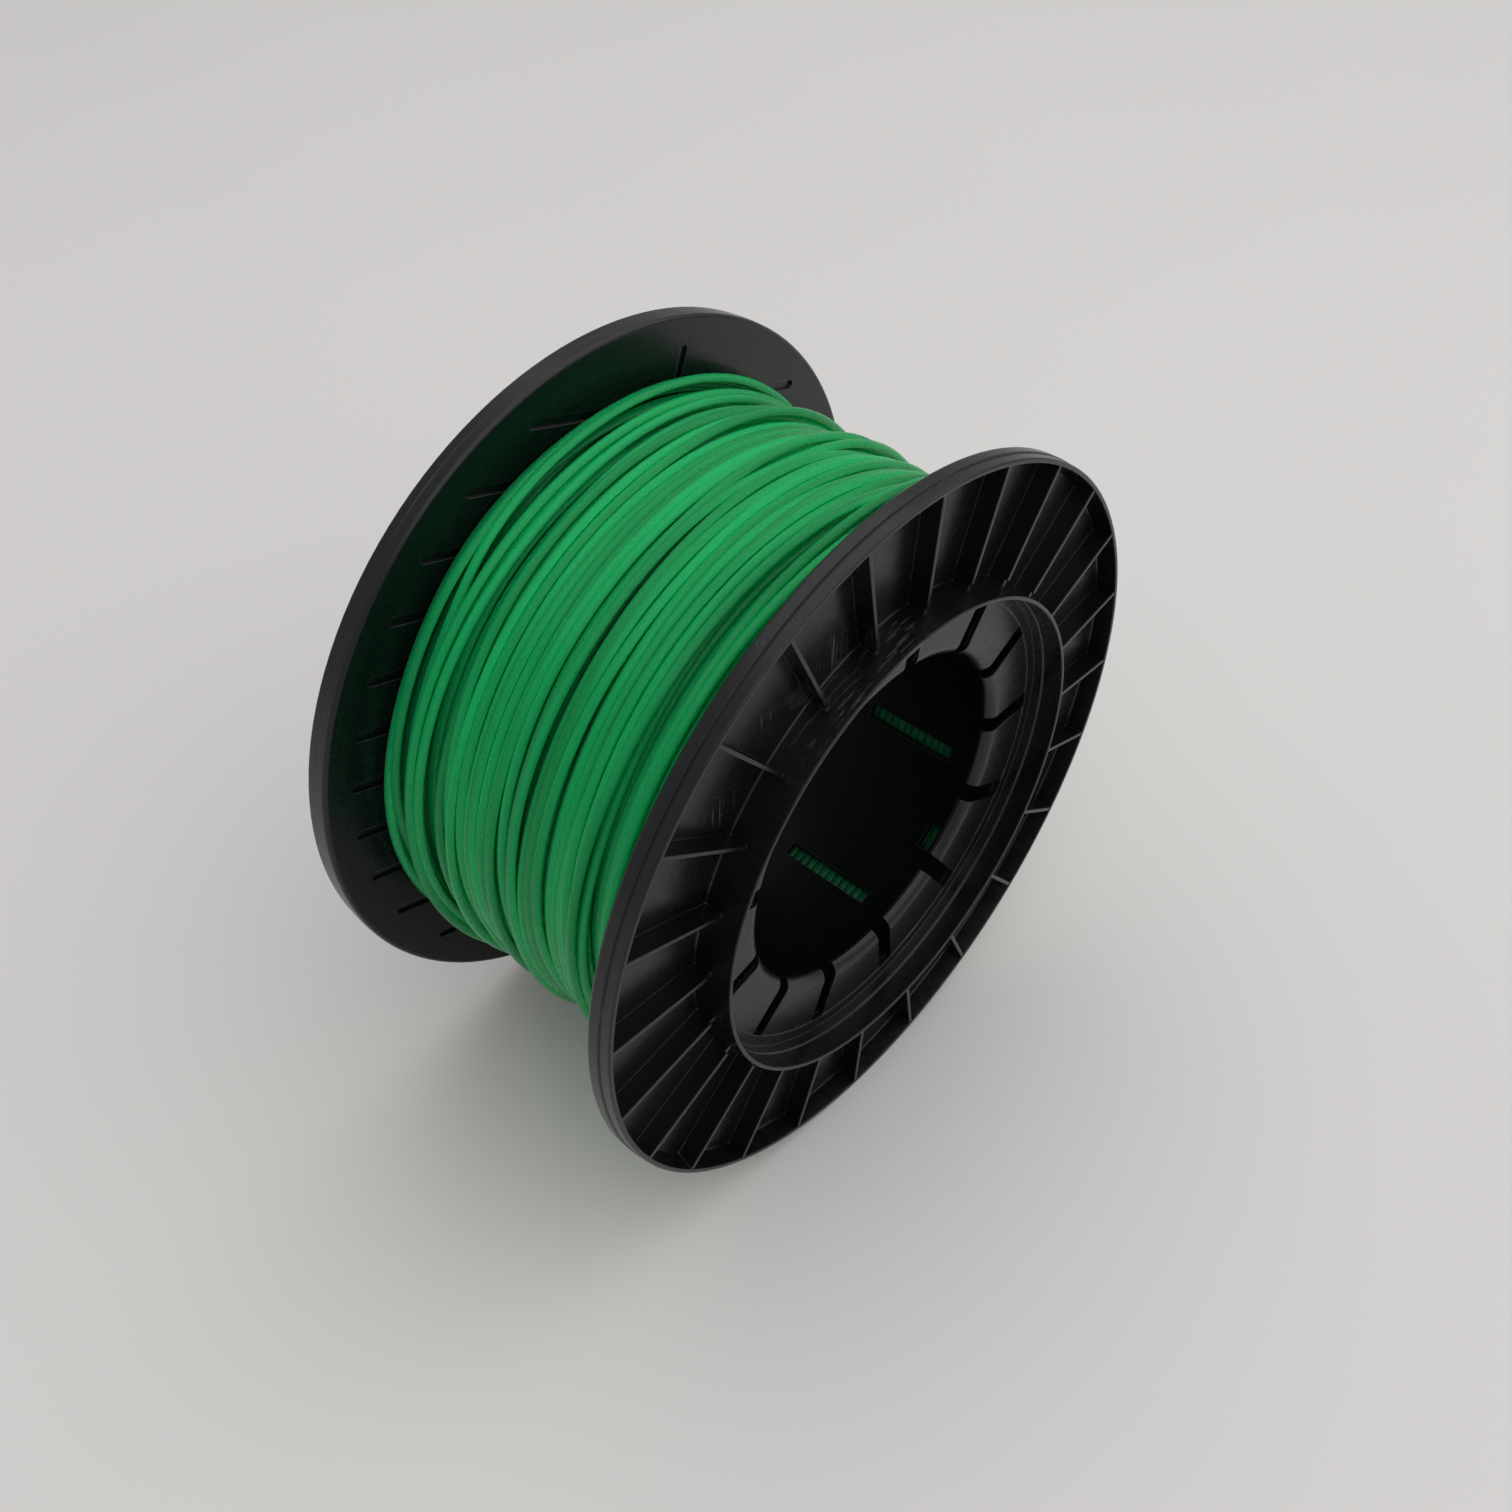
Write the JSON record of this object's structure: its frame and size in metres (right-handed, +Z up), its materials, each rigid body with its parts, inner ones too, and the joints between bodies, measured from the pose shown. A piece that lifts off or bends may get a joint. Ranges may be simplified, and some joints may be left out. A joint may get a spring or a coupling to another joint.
{
  "type": "fishing line spool",
  "caption": "Full spool of heavy green monofilament line: black ribbed flanges with finger rings round a wide spindle bore, on a slotted barrel.",
  "frame": {"origin": "middle of the spindle bore, halfway between the flanges", "axes": "the winding axis lies along Y, the front flange faces -Y, +Z is up when the spool stands on its rims"},
  "size_m": [0.2, 0.115, 0.2],
  "materials": {
    "black_plastic": "injection-moulded black plastic, satin with fine scuffs",
    "barrel_plastic": "black plastic tube, dull satin",
    "green_line": "translucent green nylon monofilament, smooth",
    "inner_line": "the same line seen in the shade between the outer turns"
  },
  "bodies": {
    "root": {"flange_front": "black_plastic", "flange_rear": "black_plastic", "barrel": "barrel_plastic", "line_inner_layers": "inner_line", "line_outer_layer": "green_line", "line_inner_end": "green_line"}
  },
  "joints": []
}
